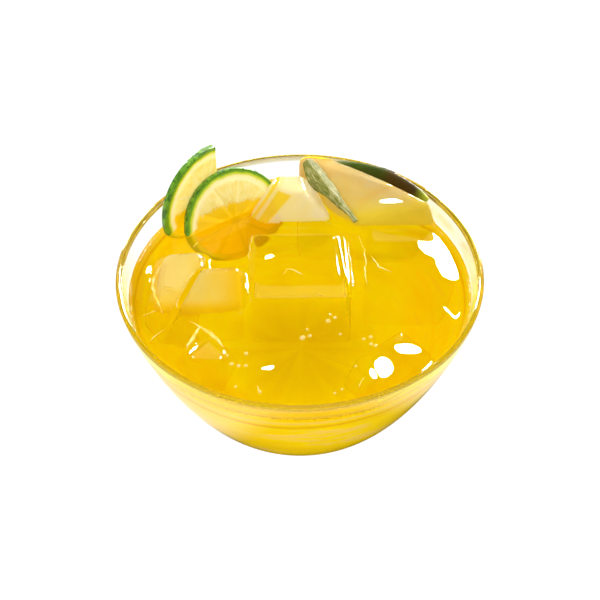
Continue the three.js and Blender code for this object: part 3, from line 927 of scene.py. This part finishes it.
def make_leaf():
    """The leaf along the slab's ridge, with fibres drawn out from its stem to its tip."""
    made, tree, shader, _ = blank_material("mint leaf")
    along = (LEAF_STEM - LEAF_TIP).normalized()
    left = (LEAF_LEFT - LEAF_LEFT.dot(along) * along).normalized()
    frame_of_leaf = Matrix((along, left, along.cross(left))).transposed().to_4x4()
    own = own_place(tree, object_place(tree), LEAF_TIP * MM, frame_of_leaf.to_euler())
    stretch = tree.nodes.new("ShaderNodeMapping")
    set_values(stretch, {"Scale": (0.25, 1.3, 0.6)})
    tree.links.new(own, stretch.inputs["Vector"])
    fibre = noise_on(tree, stretch.outputs["Vector"], 1.1, 4.0, 0.65, 0.6)
    colour = ramp_of(tree, fibre, [
        (0.3, (0.1, 0.12, 0.01)), (0.43, (0.2, 0.21, 0.025)), (0.55, (0.34, 0.32, 0.08)),
        (0.7, (0.6, 0.54, 0.27))])
    tree.links.new(colour, shader.inputs["Base Color"])
    set_values(shader, {"Roughness": 0.55, "Specular IOR Level": 0.25, "Subsurface Weight": 0.2,
                        "Subsurface Radius": (0.8, 1.0, 0.3), "Subsurface Scale": 0.001})
    bump(tree, shader, fibre, 0.001, 0.9)
    bm = node_copy("mint_leaf")
    bmesh.ops.subdivide_edges(bm, edges=bm.edges, cuts=2, use_grid_fill=True, smooth=0.4)
    for vertex in bm.verts:
        vertex.co += vertex.normal * (noise.noise(vertex.co * 420) * LEAF_RUFFLE * MM)
    piece = piece_from("mint_leaf_ruffled", mesh_from(bm, "mint_leaf_ruffled"), made)
    finer = piece.modifiers.new("rounded", "SUBSURF")
    finer.levels = finer.render_levels = 1
    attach(piece, "root")
    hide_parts("mint_leaf")


# ---------------------------------------------------------------- bubbles

# Where each bubble stands on the syrup, and its radius.
BUBBLES = [
    (1, -30, 1.3), (3, -25, 0.7), (4, -29, 0.8), (12, -20, 1.1), (13, -16, 0.6),
    (15, -18, 0.8), (17, -28, 0.6), (27, -31, 0.7), (30, -30, 0.9), (30, -34, 0.8),
    (32, -35, 0.8), (-23, -39, 0.9), (-29, -45, 0.9), (-26, -46, 0.8), (-23, -46, 0.8),
    (-27, -58, 0.7), (-17, -61, 0.7), (23, -47, 0.6), (17, -60, 0.6), (14, -62, 0.6),
]


def make_bubbles():
    bm = bmesh.new()
    flattened = Matrix.Diagonal((1, 1, 0.7, 1))
    for x, y, radius in BUBBLES:
        domed = Matrix.Translation(Vector((x, y, SYRUP_LEVEL + 0.1)) * MM) @ flattened
        bmesh.ops.create_icosphere(bm, subdivisions=3, radius=radius * MM, matrix=domed)
    made, tree, shader, _ = blank_material("bubbles with painted glints")
    # painted highlight: a pale colour and a faint glow stand in for the bubbles' glints
    sheen = noise_on(tree, object_place(tree), 900.0, 2.0)
    colour = ramp_of(tree, sheen, [(0.35, (0.95, 0.78, 0.15)), (0.65, (1.0, 0.97, 0.75))])
    colour_and_glow(tree, shader, colour, 0.1)
    set_values(shader, {"Roughness": 0.05, "IOR": SYRUP_IOR, "Transmission Weight": 0.75})
    bubbles = piece_from("bubbles_on_the_syrup", mesh_from(bm, "bubbles_on_the_syrup"), made)
    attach(bubbles, "root")


# Loose slivers of jelly, many of them pale streaks that are painted highlights along edges: each one's
# width, and the points that it runs through on the syrup's skin.
STRANDS = [
    (0.6, [(26.5, 34.3), (29.0, 24.9), (29.5, 15.7), (28.8, 8.0), (29.6, 2.9)]),
    (0.5, [(-21.5, 34.2), (-22.3, 25.6), (-22.6, 17.7)]),
    (1.5, [(-60.0, 16.2), (-63.7, 9.8), (-64.6, 1.5), (-62.8, -7.3), (-59.3, -15.4)]),
    (1.8, [(-43.0, -22.8), (-45.5, -29.0), (-48.5, -35.9)]),
    (1.8, [(-43.0, -22.8), (-37.5, -28.5), (-32.4, -34.9)]),
    (1.0, [(-47.5, -19.8), (-36.5, -27.7)]),
    (0.9, [(-7.9, 7.8), (-5.2, 11.0), (-1.7, 9.6), (1.4, 7.0)]),
    (0.6, [(7.0, -3.2), (10.1, -4.5)]),
    (0.5, [(-67.9, -15.9), (-62.4, -13.5)]),
    (0.5, [(-64.5, -31.0), (-58.8, -24.5)]),
    (0.6, [(-59.6, -1.1), (-53.4, -3.7)]),
    (0.5, [(-51.7, -1.8), (-48.4, 4.5), (-43.8, 9.5)]),
    (0.5, [(-53.8, -13.6), (-53.2, -7.4)]),
    (0.5, [(23.7, -59.2), (26.4, -53.5)]),
    (0.5, [(-18.6, -57.5), (-16.4, -62.0)]),
    (0.8, [(-48.0, 27.2), (-45.9, 31.2)]),
    (0.5, [(-53.4, 16.8), (-50.1, 23.3)]),
    (0.9, [(32.0, 20.9), (34.8, 14.3), (40.4, 9.7)]),
]
STRAND_STEPS = 6  # between two points
STRAND_SIDES = 6


def make_strands(syrup):
    skin = search_tree([syrup.data])
    bm = bmesh.new()
    for width, points in STRANDS:
        count = STRAND_STEPS * (len(points) - 1)
        rings = []
        for i in range(count + 1):
            leg = min(i // STRAND_STEPS, len(points) - 2)
            first, second = Vector(points[leg]), Vector(points[leg + 1])
            across = Vector((first.y - second.y, second.x - first.x)).normalized()
            spot = first.lerp(second, i / STRAND_STEPS - leg)
            spot += across * noise.noise(Vector((*spot, 0)) * 0.35)
            half = width / 2 * (0.15 + 0.85 * math.sin(math.pi * i / count))
            height = skin.ray_cast(Vector((*spot, 90)) * MM, Vector((0, 0, -1)))[0].z / MM
            ring = []
            for side in range(STRAND_SIDES):
                angle = math.tau * side / STRAND_SIDES
                edge = spot + across * half * math.cos(angle)
                ring.append(bm.verts.new(Vector((*edge, height + 0.1 + 0.2 * math.sin(angle))) * MM))
            rings.append(ring)
        for one, two in zip(rings, rings[1:]):
            for side in range(STRAND_SIDES):
                after = (side + 1) % STRAND_SIDES
                bm.faces.new((one[side], one[after], two[after], two[side]))
        bm.faces.new(rings[0])
        bm.faces.new(rings[-1])
    bmesh.ops.recalc_face_normals(bm, faces=bm.faces)
    made, tree, shader, _ = blank_material("loose jelly and painted glints")
    cloud = noise_on(tree, object_place(tree), 260.0, 2.0)
    # pale and faintly glowing: partly loose jelly, partly painted highlights
    colour = ramp_of(tree, cloud, [(0.4, (0.93, 0.68, 0.05)), (0.62, (0.98, 0.86, 0.36))])
    colour_and_glow(tree, shader, colour, 0.12)
    set_values(shader, {"Roughness": 0.2, "IOR": SLIVER_IOR, "Transmission Weight": 0.6})
    mesh = mesh_from(bm, "jelly_strands_on_the_syrup")
    strands = piece_from("jelly_strands_on_the_syrup", mesh, made)
    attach(strands, "root")


# ---------------------------------------------------------------- assembly

make_camera()
make_world()
key = softbox("key", 60, 55, 1.2, (0.7, 0.7), 14)
key.visible_glossy = False
key.visible_transmission = False
softbox("window right", 62, 20, 1.0, (0.35, 0.22), 30, gloss_only=True)
softbox("window left", 118, 18, 1.0, (0.2, 0.15), 12, gloss_only=True)
mirrored_window("right pane top", (54.6, 42.0, 65), (57.4, 33.9, 65), 6)
mirrored_window("right pane middle", (55.6, 34.6, 65), (64.2, 21.1, 65), 11)
mirrored_window("right pane end", (60.5, 25.8, 65), (68.5, 5.6, 65), 5.5)
mirrored_window("right dash", (62.5, -13.5, 65), (66.0, -19.5, 65), 1)
mirrored_window("front pane", (40.1, -35.2, 65), (50.9, -38.8, 65), 4.5)
mirrored_window("front round pane", (32.0, -47.9, 65), (38.8, -45.7, 65), 8.5)
mirrored_window("front round pane's end", (29.0, -50.7, 65), (32.3, -51.9, 65), 3)
mirrored_window("left pane", (-73.5, 12.5, 65), (-66.0, 18.0, 65), 6)
mirrored_window("block pane", (-16.5, 17.0, 67.2), (-11.5, 18.2, 67.2), 2, facing=(0, -0.052, 1))
mirrored_window("slab pane", (36.0, 47.6, 73.0), (48.0, 46.4, 74.8), 2, facing=(-0.202, -0.415, 0.887))

floor_bm = bmesh.new()
bmesh.ops.create_circle(floor_bm, cap_ends=True, segments=96, radius=FLOOR_RADIUS)
bmesh.ops.translate(floor_bm, verts=floor_bm.verts, vec=(0, 0, -FLOOR_DROP))
floor = piece_from("floor", mesh_from(floor_bm, "floor"), floor_material(), smooth=False)

make_bowl()
syrup_skin = make_syrup()
make_jelly()
make_lime_slice("lime_slice_cut_half", "lime_slice_back", BACK_SLICE, (-15, 1.0), 0.3)
make_lime_slice("lime_slice_leaning", "lime_slice_front", FRONT_SLICE, (-8, 10.5), 0.15)
make_crescent()
make_leaf()
make_bubbles()
make_strands(syrup_skin)

scene = bpy.context.scene
scene.view_settings.view_transform = "Standard"
